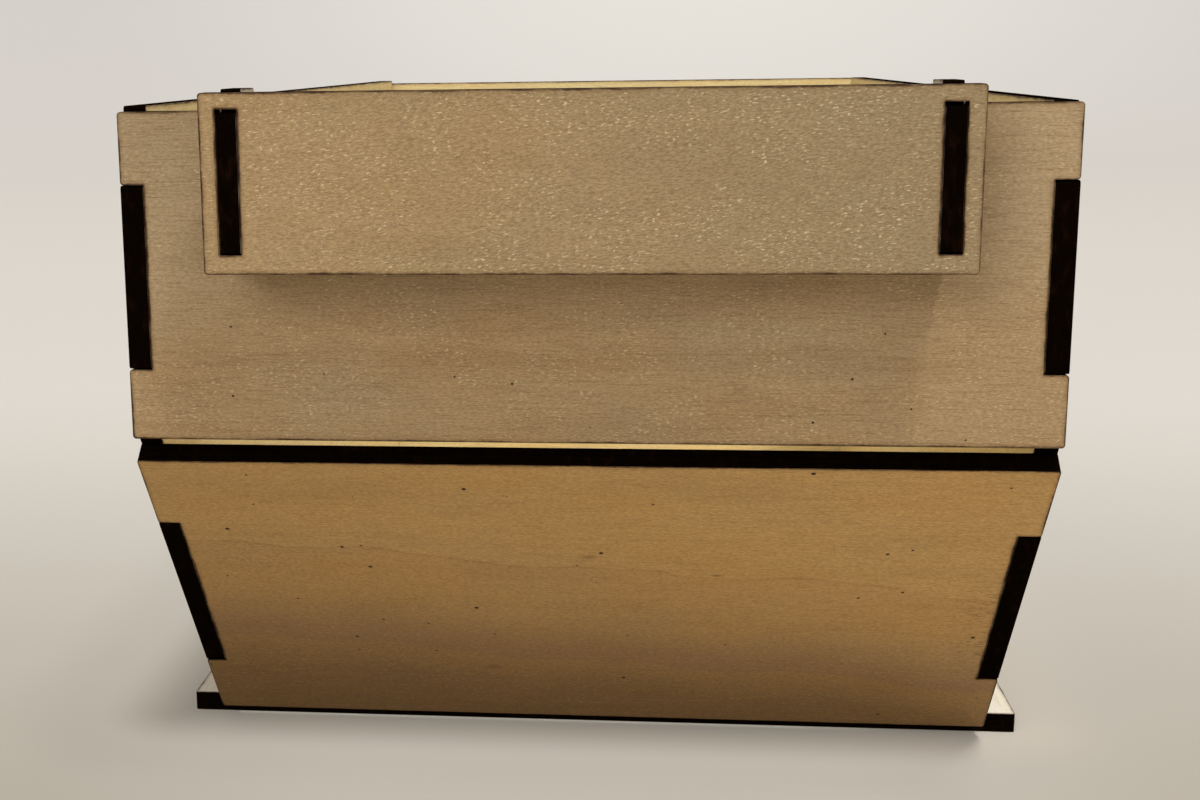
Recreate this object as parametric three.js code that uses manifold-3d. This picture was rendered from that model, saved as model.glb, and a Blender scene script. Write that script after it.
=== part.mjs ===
// An open-topped storage box cut from flat plywood sheets that lock together with tabs.
// The front stands upright at the top and leans inwards below a bend, down to a base
// that sticks out on both sides. A grip plate stands in front of the rim on two boards.
// Millimetres, +Z up, the front faces -Y, +X is on the right as seen from the front.
// The origin is the centre of the base's underside.

import * as THREE from 'three';
import { mergeVertices } from 'three/addons/utils/BufferGeometryUtils.js';
import Module from 'manifold-3d';

const wasm = await Module();
wasm.setup();

// The box, over its outer faces
const boxWidth = 160;
const boxDepth = 305;
const rimHeight = 131;
const bendHeight = 73;
const toeSetback = 60;
const ply = 4;
const flangeWidth = 7.2;

// How far each side wall stands above the front's rim
const leftWallRise = 0.9;
const rightWallRise = 0.15;

// Tabs: the middle of each upright edge goes through a notch in the panel across it
const tabMarginShare = 0.22;
const wallFootLength = 44;
const wallFootPlaceShares = [0.2, 0.8];
const backFootLength = 30;
const backFootPlaceShares = [0.27, 0.73];

// Gaps: glue between faces, air round a tab, and the open joint at the bend and the toe
const glueGap = 0.15;
const slopeGap = 0.3;
const fitGap = 0.1;
const bendGap = 0.9;
const toeGap = 1.6;

// How far each cutter runs past the faces that it cuts
const overrun = 1;

// The grip: a plate held in front of the rim by two boards of thinner plywood
const gripWidth = 124.4;
const gripHeight = 29.5;
const gripReach = 14.1;
const gripRise = 3.3;
const gripEdge = 2.8;
const gripTopMargin = 2.7;
const gripBottomMargin = 3.2;
const gripSlotSlack = 0.5;
const spacerPly = 3.4;
const spacerRise = 0.5;
const spacerSeatMargin = 6;

// Planes that several pieces share
const baseDepth = boxDepth - toeSetback;
const toeY = -baseDepth / 2;
const backY = baseDepth / 2;
const frontY = toeY - toeSetback;
const wallBottom = ply + glueGap;
const wallFrontY = frontY + ply + glueGap;
const wallBackY = backY - ply - glueGap;
const wallOuterX = boxWidth / 2;

// The leaning edge of a side wall, from the toe on the base up to the bend
const toe = new THREE.Vector2(toeY, wallBottom);
const bend = new THREE.Vector2(wallFrontY, bendHeight);
const slopeLength = toe.distanceTo(bend);
const slopeAlong = bend.clone().sub(toe).normalize();
const slopeOut = new THREE.Vector2(-slopeAlong.y, slopeAlong.x);
const slopeLean = Math.atan2(-slopeAlong.x, slopeAlong.y);
const lowerFrontLength = slopeLength - toeGap - bendGap;
const upperFrontBottom = bendHeight + bendGap;
const upperFrontHeight = rimHeight - upperFrontBottom;
const backHeight = rimHeight - wallBottom;

const birchFace = new THREE.Color(0.62, 0.5, 0.35);
const shadedFace = new THREE.Color(0.58, 0.44, 0.26);

// Each piece has its own material, in the colour of its larger faces
function plywood(color) {
  return new THREE.MeshStandardMaterial({ color, roughness: 0.75, metalness: 0 });
}

// A flat piece cut from a sheet: its outline, made as thick as the sheet along local +Z
function sheet(name, outline, thickness, color) {
  const geometry = new THREE.ExtrudeGeometry(outline, {
    depth: thickness,
    bevelEnabled: false,
  });
  const mesh = new THREE.Mesh(geometry, plywood(color));
  mesh.name = name;
  return mesh;
}

// Stands a sheet upright across the box, with its back face on the plane y
function standAcross(mesh, y) {
  mesh.rotation.x = Math.PI / 2;
  mesh.position.y = y;
  return mesh;
}

// Stands a sheet upright along the box: its outline is drawn as (y, z), and its
// thickness runs towards +X from the plane x
function standAlong(mesh, x) {
  mesh.rotation.set(Math.PI / 2, Math.PI / 2, 0);
  mesh.position.x = x;
  return mesh;
}

function polygon(points) {
  return new THREE.Shape(points.map(([x, y]) => new THREE.Vector2(x, y)));
}

function solidOf(geometry) {
  const bare = geometry.clone();
  bare.deleteAttribute('normal');
  bare.deleteAttribute('uv');
  const merged = mergeVertices(bare);
  const mesh = new wasm.Mesh({
    numProp: 3,
    vertProperties: merged.attributes.position.array,
    triVerts: Uint32Array.from(merged.index.array),
  });
  return new wasm.Manifold(mesh);
}

// Cuts slots with square corners through a sheet, each given by its ends in X and in Y
function cutSlots(mesh, slots, thickness) {
  let solid = solidOf(mesh.geometry);
  for (const [[lowX, highX], [lowY, highY]] of slots) {
    const cutter = new THREE.BoxGeometry(highX - lowX, highY - lowY, thickness + 2 * overrun);
    cutter.translate((lowX + highX) / 2, (lowY + highY) / 2, thickness / 2);
    solid = solid.subtract(solidOf(cutter));
  }
  const { vertProperties, triVerts } = solid.getMesh();
  const indexed = new THREE.BufferGeometry();
  indexed.setAttribute('position', new THREE.BufferAttribute(vertProperties, 3));
  indexed.setIndex(new THREE.BufferAttribute(triVerts, 1));
  mesh.geometry = indexed.toNonIndexed();
  mesh.geometry.computeVertexNormals();
  return mesh;
}

// The two ends of the tab in the middle of an edge of this length
function tabEnds(length) {
  return [length * tabMarginShare, length * (1 - tabMarginShare)];
}

// The lower and upper ends of each foot, whose centres lie at shares of a length
function footEnds(start, length, footLength, places) {
  return places.map((place) => {
    const centre = start + length * place;
    return [centre - footLength / 2, centre + footLength / 2];
  });
}

const wallFeet = footEnds(toeY, baseDepth, wallFootLength, wallFootPlaceShares);
const backFeet = footEnds(-wallOuterX, boxWidth, backFootLength, backFootPlaceShares);

// A panel across the box, from 0 up to its height, with one notch in each end
// edge for the side wall's tab. Feet, if it has any, reach down from its lower edge.
function notchedPanel(height, feet, footDrop) {
  const [tabLow, tabHigh] = tabEnds(height);
  const low = tabLow - fitGap;
  const high = tabHigh + fitGap;
  const notchX = wallOuterX - ply - fitGap;
  const lowerEdge = feet.flatMap(([left, right]) => [
    [left, 0],
    [left, -footDrop],
    [right, -footDrop],
    [right, 0],
  ]);
  return polygon([
    [-wallOuterX, 0],
    ...lowerEdge,
    [wallOuterX, 0],
    [wallOuterX, low],
    [notchX, low],
    [notchX, high],
    [wallOuterX, high],
    [wallOuterX, height],
    [-wallOuterX, height],
    [-wallOuterX, high],
    [-notchX, high],
    [-notchX, low],
    [-wallOuterX, low],
  ]);
}

// The lower front panel lies on the leaning edges of the walls, its outer face down
function lowerFrontPanel() {
  const outline = notchedPanel(lowerFrontLength, [], 0);
  const mesh = sheet('lower_front_panel', outline, ply, shadedFace);
  const seat = toe
    .clone()
    .addScaledVector(slopeAlong, toeGap)
    .addScaledVector(slopeOut, slopeGap);
  mesh.rotation.x = Math.PI / 2 + slopeLean;
  mesh.position.set(0, seat.x, seat.y);
  return mesh;
}

function backPanel() {
  const outline = notchedPanel(backHeight, backFeet, wallBottom);
  const mesh = standAcross(sheet('back_panel', outline, ply, birchFace), backY);
  mesh.position.z = wallBottom;
  return mesh;
}

// A point on the leaning edge, moved outwards across it
function onSlope(along, out) {
  const point = toe.clone().addScaledVector(slopeAlong, along).addScaledVector(slopeOut, out);
  return [point.x, point.y];
}

// The outline of a side wall as (y, z): the leaning edge, the upright front edge, the
// rim, the back edge and the lower edge, each but the rim with its tabs
function wallOutline(rise) {
  const slopeTab = tabEnds(lowerFrontLength).map((end) => end + toeGap);
  const frontTab = tabEnds(upperFrontHeight).map((end) => end + upperFrontBottom);
  const backTab = tabEnds(backHeight).map((end) => end + wallBottom);
  const slopeTabReach = slopeGap + ply;
  const lowerEdge = [...wallFeet].reverse().flatMap(([near, far]) => [
    [far, wallBottom],
    [far, 0],
    [near, 0],
    [near, wallBottom],
  ]);
  return polygon([
    onSlope(0, 0),
    onSlope(slopeTab[0], 0),
    onSlope(slopeTab[0], slopeTabReach),
    onSlope(slopeTab[1], slopeTabReach),
    onSlope(slopeTab[1], 0),
    onSlope(slopeLength, 0),
    [wallFrontY, frontTab[0]],
    [frontY, frontTab[0]],
    [frontY, frontTab[1]],
    [wallFrontY, frontTab[1]],
    [wallFrontY, rimHeight + rise],
    [wallBackY, rimHeight + rise],
    [wallBackY, backTab[1]],
    [backY, backTab[1]],
    [backY, backTab[0]],
    [wallBackY, backTab[0]],
    [wallBackY, wallBottom],
    ...lowerEdge,
  ]);
}

function sideWall(name, lowX, rise) {
  return standAlong(sheet(name, wallOutline(rise), ply, birchFace), lowX);
}

// The base is the floor of the box. It has a slot for each foot of a side wall, and
// its rear edge is notched for the feet of the back panel.
function basePlate() {
  const halfWidth = wallOuterX + flangeWidth;
  const notchY = backY - ply - fitGap;
  const rearEdge = [...backFeet].reverse().flatMap(([left, right]) => [
    [right + fitGap, backY],
    [right + fitGap, notchY],
    [left - fitGap, notchY],
    [left - fitGap, backY],
  ]);
  const outline = polygon([
    [-halfWidth, toeY],
    [halfWidth, toeY],
    [halfWidth, backY],
    ...rearEdge,
    [-halfWidth, backY],
  ]);
  const slotOuter = wallOuterX + fitGap;
  const slotInner = wallOuterX - ply - fitGap;
  const slots = wallFeet.flatMap(([near, far]) => {
    const along = [near - fitGap, far + fitGap];
    return [
      [[slotInner, slotOuter], along],
      [[-slotOuter, -slotInner], along],
    ];
  });
  return cutSlots(sheet('base_plate', outline, ply, birchFace), slots, ply);
}

// Planes of the grip, and the ends of the tabs on its boards
const gripBottom = rimHeight + gripRise - gripHeight;
const gripFrontY = frontY - gripReach;
const gripBackY = gripFrontY + ply;
const spacerOuterX = gripWidth / 2 - gripEdge - fitGap;
const spacerInnerX = spacerOuterX - spacerPly;
const spacerTabLow = gripBottom + gripBottomMargin + fitGap;
const spacerTabHigh = gripBottom + gripHeight - gripTopMargin - gripSlotSlack;
const spacerSeatHigh = rimHeight - spacerSeatMargin;

// The two slots across the box that take the boards' tabs, between these heights
function spacerSlots(low, high) {
  const outer = spacerOuterX + fitGap;
  const inner = spacerInnerX - fitGap;
  return [
    [[inner, outer], [low, high]],
    [[-outer, -inner], [low, high]],
  ];
}

function gripPlate() {
  const outline = polygon([
    [-gripWidth / 2, 0],
    [gripWidth / 2, 0],
    [gripWidth / 2, gripHeight],
    [-gripWidth / 2, gripHeight],
  ]);
  const slots = spacerSlots(gripBottomMargin, gripHeight - gripTopMargin);
  const plate = cutSlots(sheet('grip_plate', outline, ply, birchFace), slots, ply);
  const mesh = standAcross(plate, gripBackY);
  mesh.position.z = gripBottom;
  return mesh;
}

function upperFrontPanel() {
  const outline = notchedPanel(upperFrontHeight, [], 0);
  const panel = sheet('upper_front_panel', outline, ply, birchFace);
  const slotLow = spacerTabLow - fitGap - upperFrontBottom;
  const slotHigh = spacerSeatHigh + fitGap - upperFrontBottom;
  const mesh = standAcross(cutSlots(panel, spacerSlots(slotLow, slotHigh), ply), frontY + ply);
  mesh.position.z = upperFrontBottom;
  return mesh;
}

// The outline of a board of the grip as (y, z): a tab through the plate, a body a
// little taller than the plate, and a shorter tab through the upper front panel
function spacerOutline() {
  const bodyFront = gripBackY + glueGap;
  const bodyBack = frontY - glueGap;
  const bodyTop = gripBottom + gripHeight + spacerRise;
  return polygon([
    [gripFrontY, spacerTabLow],
    [bodyFront, spacerTabLow],
    [bodyFront, gripBottom],
    [bodyBack, gripBottom],
    [bodyBack, spacerTabLow],
    [frontY + ply, spacerTabLow],
    [frontY + ply, spacerSeatHigh],
    [bodyBack, spacerSeatHigh],
    [bodyBack, bodyTop],
    [bodyFront, bodyTop],
    [bodyFront, spacerTabHigh],
    [gripFrontY, spacerTabHigh],
  ]);
}

function spacer(name, lowX) {
  return standAlong(sheet(name, spacerOutline(), spacerPly, birchFace), lowX);
}

const carcass = new THREE.Group();
carcass.add(
  basePlate(),
  sideWall('left_wall', -wallOuterX, leftWallRise),
  sideWall('right_wall', wallOuterX - ply, rightWallRise),
  upperFrontPanel(),
  lowerFrontPanel(),
  backPanel(),
);

const grip = new THREE.Group();
grip.add(
  gripPlate(),
  spacer('left_grip_board', -spacerOuterX),
  spacer('right_grip_board', spacerInnerX),
);

const box = new THREE.Group();
box.add(carcass, grip);

export default box;
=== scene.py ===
"""The finished boards of an open plywood storage box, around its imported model.

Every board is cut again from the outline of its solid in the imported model, with rounded
corners, eased edges and scorched cut faces, and gets a procedural birch finish.
Lengths are in metres. +Z is up, the front faces -Y and +X is on the right.
"""

import math
from typing import NamedTuple

import bpy
import numpy as np
from mathutils import Matrix, Vector
from mathutils.geometry import tessellate_polygon


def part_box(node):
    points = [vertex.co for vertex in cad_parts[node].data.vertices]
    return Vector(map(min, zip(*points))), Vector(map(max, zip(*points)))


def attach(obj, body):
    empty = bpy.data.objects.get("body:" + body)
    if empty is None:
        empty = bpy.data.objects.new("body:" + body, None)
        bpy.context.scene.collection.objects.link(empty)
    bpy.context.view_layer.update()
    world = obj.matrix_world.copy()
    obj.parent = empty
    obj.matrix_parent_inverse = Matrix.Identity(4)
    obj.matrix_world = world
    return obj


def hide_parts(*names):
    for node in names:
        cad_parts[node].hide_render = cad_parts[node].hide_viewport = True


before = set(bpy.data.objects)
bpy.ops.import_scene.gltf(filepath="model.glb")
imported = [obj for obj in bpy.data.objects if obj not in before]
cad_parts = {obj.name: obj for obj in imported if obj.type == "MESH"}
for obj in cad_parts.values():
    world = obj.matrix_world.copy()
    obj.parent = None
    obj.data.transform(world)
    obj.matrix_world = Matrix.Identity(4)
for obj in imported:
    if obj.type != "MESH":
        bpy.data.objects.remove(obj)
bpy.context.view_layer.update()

bl_info = {
    "name": "Plywood Storage Box",
    "version": (1, 0, 0),
    "blender": (4, 5, 0),
    "location": "View3D > Sidebar > Storage Box",
    "description": "Cuts and finishes the boards of an open plywood storage box",
    "category": "Add Mesh",
}

MM = 0.001
FRONT_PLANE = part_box("upper_front_panel")[0].y
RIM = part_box("upper_front_panel")[1].z


def linear(red, green, blue):
    """An sRGB colour in bytes as linear light: ((c + 0.055) / 1.055) to the power 2.4, or
    c / 12.92 where c is small."""
    c = np.array([red, green, blue]) / 255.0
    light = np.where(c > 0.04045, ((c + 0.055) / 1.055) ** 2.4, c / 12.92)
    return tuple(float(v) for v in light)


def length(name, description, default):
    return bpy.props.FloatProperty(
        name=name, description=description, default=default, min=0.0,
        unit="LENGTH", precision=5,
    )


def share(name, description, default):
    return bpy.props.FloatProperty(
        name=name, description=description, default=default, min=0.0, max=1.0,
        subtype="FACTOR",
    )


def angle(name, description, degrees):
    return bpy.props.FloatProperty(
        name=name, description=description, default=math.radians(degrees),
        subtype="ANGLE",
    )


def number(name, description, default):
    return bpy.props.FloatProperty(name=name, description=description, default=default)


def colour(name, description, red, green, blue):
    return bpy.props.FloatVectorProperty(
        name=name, description=description, default=linear(red, green, blue),
        size=3, min=0.0, max=1.0, subtype="COLOR",
    )


class CutSettings(bpy.types.PropertyGroup):
    """How every board is cut from its sheet"""

    corner_radius: length("Corner radius", "Radius of a board's outer corners", 0.6 * MM)
    inner_radius: length("Inner radius", "Radius that the cut leaves in a notch", 0.15 * MM)
    ease: length("Eased edge", "Width of the rounding between a face and a cut", 0.09 * MM)
    scorch_reach: length("Scorch reach", "How far in from a cut the face is browned", 1.15 * MM)
    groove: length("Glue line", "How deep the burnt glue lines lie in a cut face", 0.04 * MM)
    plies: bpy.props.IntProperty(
        name="Plies", description="Layers of veneer in the sheet", default=3, min=1, max=9
    )
    arc_steps: bpy.props.IntProperty(
        name="Corner steps", description="Steps in each rounded corner", default=5, min=2
    )


def veneer_settings(
    wood, streak, fleck, warm, cool, dash_length, dash_width, slant,
    dash_share, fibre_share, fleck_share, patch_share, speck_share,
):
    """The settings that every veneer has, as the annotations that Blender reads. Their
    defaults are one veneer's colours in bytes, sizes in metres and slant in degrees."""
    return {
        "wood": colour("Wood", "Ground colour", *wood),
        "streak": colour("Streak", "Colour of the fine dark grain", *streak),
        "fleck": colour("Fleck", "Colour of the small bright flecks", *fleck),
        "warm": colour("Warm tone", "Colour of the warmer patches", *warm),
        "cool": colour("Cool tone", "Colour of the greyer patches", *cool),
        "dash_length": length("Dash length", "Length of the fine grain", dash_length),
        "dash_width": length("Dash width", "Width of the fine grain", dash_width),
        "slant": angle("Slant", "Turn of the flecks against the grain", slant),
        "dash_share": share("Fine grain", "How strongly the fine grain shows", dash_share),
        "fibre_share": share(
            "Fibres", "How far the short fibres lighten and darken", fibre_share
        ),
        "fleck_share": share("Flecks", "How strongly the flecks show", fleck_share),
        "patch_share": share("Patches", "How strongly the toned patches show", patch_share),
        "speck_share": share("Specks", "Share of the pin specks that are dark", speck_share),
    }


class GripVeneerSettings(bpy.types.PropertyGroup):
    """The mottled pale veneer of the grip plate"""

    __annotations__ = veneer_settings(
        wood=(171, 143, 102), streak=(132, 104, 68), fleck=(216, 197, 160),
        warm=(170, 138, 93), cool=(165, 142, 103),
        dash_length=1.7 * MM, dash_width=0.32 * MM, slant=9.0,
        dash_share=0.3, fibre_share=0.22, fleck_share=0.88, patch_share=0.6, speck_share=0.03,
    )
    # Painted shade: the right end tends to a greyer, darker tone where the light falls off.
    right_shade: colour("Right end", "Colour that the right end tends to", 150, 130, 97)
    right_shade_share: share("Right strength", "How far the right end tends to it", 0.85)


class UpperVeneerSettings(bpy.types.PropertyGroup):
    """The streaky pale veneer of the upper front"""

    __annotations__ = veneer_settings(
        wood=(168, 140, 101), streak=(126, 98, 62), fleck=(206, 184, 142),
        warm=(166, 133, 91), cool=(161, 139, 105),
        dash_length=4.5 * MM, dash_width=0.3 * MM, slant=4.0,
        dash_share=0.34, fibre_share=0.19, fleck_share=0.7, patch_share=0.5, speck_share=0.65,
    )
    # Painted light: the grey corners stand for the cool direct light beside the grip plate,
    # against the warm shade under it.
    grey: colour("Grey corners", "Colour of the wood beside the grip plate", 176, 152, 116)
    grey_light_share: share("Grey strength", "How strongly the greyer corners show", 0.8)


class LowerVeneerSettings(bpy.types.PropertyGroup):
    """The smooth golden veneer of the lower front. Its golden tone is partly its own and partly
    painted warm light, for the light that the downward-facing board gets from below.
    """

    __annotations__ = veneer_settings(
        wood=(190, 151, 93), streak=(158, 120, 69), fleck=(206, 171, 114),
        warm=(189, 146, 83), cool=(181, 147, 95),
        dash_length=6.0 * MM, dash_width=0.34 * MM, slant=0.0,
        dash_share=0.36, fibre_share=0.19, fleck_share=0.25, patch_share=0.45, speck_share=0.55,
    )
    line: colour("Growth line", "Colour of the wavy growth line", 148, 96, 54)
    line_height: length("Line height", "Height of the growth line in the middle", 45.5 * MM)
    band: colour("Band", "Colour of the rosy band", 160, 126, 96)
    band_height: length("Band height", "Height of the band's lower border", 19.5 * MM)
    band_share: share("Band strength", "How strongly the rosy band shows", 0.5)
    stain: colour("Stain", "Colour of the soft spots", 92, 62, 36)
    soot: colour("Soot", "Colour of the short dashes beside the right notch", 66, 46, 22)
    # Painted shade: this colour darkens the board towards the toe, where it faces down near the
    # floor, and on its left half, away from the light at the right.
    toe: colour("Toe", "Colour of the darker wood near the toe", 102, 74, 42)
    toe_shade_share: share("Toe strength", "How strongly the darker wood shows", 0.82)
    left_shade_share: share("Left strength", "How much darker the left half is", 0.17)


class OuterVeneerSettings(bpy.types.PropertyGroup):
    """The veneer outside the side walls and the back, and under the base"""

    __annotations__ = veneer_settings(
        wood=(174, 146, 105), streak=(136, 107, 70), fleck=(206, 184, 142),
        warm=(172, 139, 95), cool=(167, 145, 109),
        dash_length=5.0 * MM, dash_width=0.3 * MM, slant=4.0,
        dash_share=0.36, fibre_share=0.17, fleck_share=0.6, patch_share=0.55, speck_share=0.3,
    )


class LitInnerVeneerSettings(bpy.types.PropertyGroup):
    """A lighter copy of the birch on the inner faces, painted bright yellow for the light that
    falls into the open box
    """

    __annotations__ = veneer_settings(
        wood=(230, 210, 156), streak=(196, 166, 110), fleck=(242, 228, 188),
        warm=(226, 198, 136), cool=(220, 206, 160),
        dash_length=5.0 * MM, dash_width=0.3 * MM, slant=3.0,
        dash_share=0.45, fibre_share=0.08, fleck_share=0.4, patch_share=0.5, speck_share=0.25,
    )


class LitPaleVeneerSettings(bpy.types.PropertyGroup):
    """A nearly white copy of the birch on the top of the base and the grip boards' inner faces,
    painted light for the strong light that falls on them
    """

    __annotations__ = veneer_settings(
        wood=(240, 234, 218), streak=(214, 198, 164), fleck=(244, 240, 228),
        warm=(238, 228, 204), cool=(234, 230, 216),
        dash_length=5.0 * MM, dash_width=0.3 * MM, slant=3.0,
        dash_share=0.4, fibre_share=0.05, fleck_share=0.3, patch_share=0.6, speck_share=0.2,
    )


class ScorchSettings(bpy.types.PropertyGroup):
    """What the cutting beam leaves on the faces and the cut edges"""

    char: colour("Char", "Colour of a cut face", 10, 5, 2)
    ash: colour("Ash", "Colour of the lighter streaks in a cut face", 26, 13, 6)
    line: colour("Scorch line", "Colour of the thin line along each cut", 60, 36, 16)
    smoke: colour("Smoke", "Colour of the browned wood beside the line", 128, 97, 58)
    smoke_share: share("Smoke strength", "How strongly the browning shows", 0.5)


class StageSettings(bpy.types.PropertyGroup):
    """The camera, the lamps, the floor and the backdrop"""

    camera_side: length("Camera side", "How far right of the middle the camera stands", 10.62 * MM)
    camera_away: length("Camera away", "From the upper front to the camera", 295.84 * MM)
    camera_height: length("Camera height", "Height of the camera above the floor", 139.3 * MM)
    camera_turn: angle("Camera turn", "Turn to the left", 6.633)
    camera_tilt: angle("Camera tilt", "Tilt downwards", 11.741)
    camera_roll: angle("Camera roll", "Roll about the line of sight", -0.817)
    focal_length: number("Focal length", "In millimetres on a frame 36 mm wide", 52.65)
    shift_x: number("Shift across", "Crop to the right, in picture widths", 0.1269)
    shift_y: number("Shift up", "Crop upwards, in picture widths", 0.0187)
    # Painted shade: the floor in front of the box is darker.
    painted_shade_floor: colour("Near floor", "Colour of the floor in front of the box", 180, 171, 156)
    far_floor: colour("Far floor", "Colour of the floor beside the box", 226, 220, 210)
    backdrop: colour("Backdrop", "Colour of the backdrop", 222, 217, 211)
    # Painted light: a lighter pool on the backdrop behind the box.
    painted_light_glow: colour("Glow", "Colour of the backdrop behind the box", 241, 237, 229)
    paper_light: share("Paper light", "Share of the paper's tone that no shadow reaches", 0.85)
    contact_light: share("Contact light", "The same share right beside the base", 0.2)
    contact: length("Contact width", "From the base to where the share is whole again", 22 * MM)
    sky_level: number("Room light", "Level of the even light all round", 0.36)
    key_power: number("Key lamp", "Power of the steep lamp at the right, in watts", 8.5)
    fill_power: number("Fill lamp", "Power of the wide lamp in front, in watts", 10.8)
    side_power: number("Side lamp", "Power of the low lamp at the right, in watts", 1.2)
    top_power: number("Top lamp", "Power of the lamp over the open top, in watts", 6.9)


def outline_triangles(node):
    """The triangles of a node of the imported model, as an array of n x 3 corners x 3."""
    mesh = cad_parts[node].data
    mesh.calc_loop_triangles()
    places = np.empty(3 * len(mesh.vertices))
    mesh.vertices.foreach_get("co", places)
    corners = np.empty(3 * len(mesh.loop_triangles), int)
    mesh.loop_triangles.foreach_get("vertices", corners)
    return places.reshape(-1, 3)[corners.reshape(-1, 3)]


def unit(vectors):
    """Each vector divided by its length."""
    return vectors / np.linalg.norm(vectors, axis=-1, keepdims=True)


def cross_flat(a, b):
    """The turn from a to b in the plane: a.x b.y - a.y b.x."""
    return a[..., 0] * b[..., 1] - a[..., 1] * b[..., 0]


# How the outline of a board is read from its triangles.
UP = np.array([0.0, 0.0, 1.0])
RIGHT = np.array([1.0, 0.0, 0.0])
LYING_FLAT = 0.9  # the upright share of its normal, over which a board lies flat
SAME_FACE = 0.999  # the cosine between two normals, over which they are of one face
WELD_DECIMALS = 7  # the decimals of a metre to which the points of one corner agree
LEAST_TURN = math.radians(1.0)  # of a corner of the outline

# How the edge of a board is cut.
LEAST_RADIUS = 0.02 * MM  # of an outer corner on the rings that lie on a face
FACE_INSETS = np.array([1.0, 0.62, 0.36, 0.2])  # of those rings, in reaches of the scorch
EASE_ROWS = 4  # rings round the eased edge
WOODEN_STRIPS = 2  # strips of the eased edge that are wood, before the char starts
GLUE_LINE_HALF = 2.0  # half the width of a glue line, in depths of it
SHARP_ANGLE = math.radians(35.0)  # over which an edge is shaded sharp

# The finishes of a board, by the numbers of their material slots.
NEAR_FACE, FAR_FACE, CUT_FACE = 0, 1, 2


class Sheet:
    """The flat sheet that a board is cut from: its plane, its thickness and its loops.

    The normal is that of the largest triangle, which is the cross product of two of its
    sides, turned to point along `facing`. A point in space is origin + along x + up y - normal h,
    with h the depth below the face.
    """

    def __init__(self, node, facing):
        triangles = outline_triangles(node)
        sides = np.cross(
            triangles[:, 1] - triangles[:, 0], triangles[:, 2] - triangles[:, 0]
        )
        normals = unit(sides)
        largest = normals[np.argmax(np.linalg.norm(sides, axis=1))]
        self.normal = largest * (1.0 if largest @ np.array(facing) > 0 else -1.0)
        level = triangles.reshape(-1, 3) @ self.normal
        self.thickness = float(np.ptp(level))
        lying = abs(self.normal[2]) > LYING_FLAT
        self.along = RIGHT if lying else unit(np.cross(UP, self.normal))
        self.up = np.cross(self.normal, self.along)
        self.origin = self.normal * level.max()
        face = triangles[normals @ self.normal > SAME_FACE]
        flat = np.stack([face @ self.along, face @ self.up], axis=-1)
        self.loops = boundary_loops(flat)

    def place(self, flat, depth):
        """Points of the sheet in space, from their places on it and their depths."""
        return (
            self.origin
            + flat[..., :1] * self.along
            + flat[..., 1:] * self.up
            - np.asarray(depth)[..., None] * self.normal
        )


def boundary_loops(flat):
    """The closed outlines of a face, from its triangles in the plane.

    A side that no other triangle runs along the other way lies on the boundary. Each point's
    follower is the far end of its boundary side. The follower's follower is found for all
    points at once, so jumps double: after k doublings each point knows the least number on
    its loop and, from there, the whole walk round it.
    """
    rounded = np.round(flat.reshape(-1, 2), WELD_DECIMALS)
    points, index = np.unique(rounded, axis=0, return_inverse=True)
    index = index.reshape(-1, 3)
    start = index.ravel()
    end = np.roll(index, -1, axis=1).ravel()
    count = len(points)
    on_boundary = ~np.isin(start * count + end, end * count + start)
    follower = np.arange(count)
    follower[start[on_boundary]] = end[on_boundary]
    label = np.arange(count)
    jump = follower.copy()
    for _ in range(count.bit_length()):
        label = np.minimum(label, label[jump])
        jump = jump[jump]
    on_loop = np.unique(start[on_boundary])
    firsts, lengths = np.unique(label[on_loop], return_counts=True)
    return [
        sharp_corners(points[walk(follower, first, steps)])
        for first, steps in zip(firsts, lengths)
    ]


def walk(follower, first, steps):
    """The numbers met in going from one point to its follower, steps times in all: the walk
    so far, and after it the same walk moved on by its own length."""
    path = np.array([first])
    jump = follower.copy()
    while len(path) < steps:
        path = np.concatenate([path, jump[path]])
        jump = jump[jump]
    return path[:steps]


def sharp_corners(loop):
    """The points of a loop at which its direction changes by more than the least turn."""
    before = unit(loop - np.roll(loop, 1, axis=0))
    after = unit(np.roll(loop, -1, axis=0) - loop)
    return loop[np.abs(cross_flat(before, after)) > math.sin(LEAST_TURN)]


def rounded_loop(corners, inset, cut):
    """A loop moved into the wood by an inset, with an arc at each corner.

    A corner moves by inset (a + b) / (1 + a.b), where a and b are the inward normals of its
    two sides. The arc's radius r shrinks with the inset at an outer corner and grows at an
    inner one. The arc starts r tan(turn / 2) before the corner, and its points are the
    centre minus r times the normal, turned by shares of the corner's turn.
    """
    before = unit(corners - np.roll(corners, 1, axis=0))
    after = unit(np.roll(corners, -1, axis=0) - corners)
    inward = np.stack([-before[:, 1], before[:, 0]], axis=1)
    inward_after = np.stack([-after[:, 1], after[:, 0]], axis=1)
    meet = 1.0 + np.sum(inward * inward_after, axis=1, keepdims=True)
    moved = corners + inset * (inward + inward_after) / meet
    turn = np.arctan2(cross_flat(before, after), np.sum(before * after, axis=1))
    bend = np.sign(turn)
    outer = np.maximum(cut.corner_radius - inset, LEAST_RADIUS)
    radius = np.where(bend > 0, outer, cut.inner_radius + inset)
    reach = radius * np.tan(np.abs(turn) / 2.0)
    arc_start = moved - before * reach[:, None]
    centre = arc_start + inward * (bend * radius)[:, None]
    sweep = turn[:, None] * np.linspace(0.0, 1.0, cut.arc_steps + 1)
    spoke = (
        np.cos(sweep)[..., None] * inward[:, None]
        - np.sin(sweep)[..., None] * before[:, None]
    )
    arcs = centre[:, None] - (bend * radius)[:, None, None] * spoke
    return arcs.reshape(-1, 2)


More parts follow.
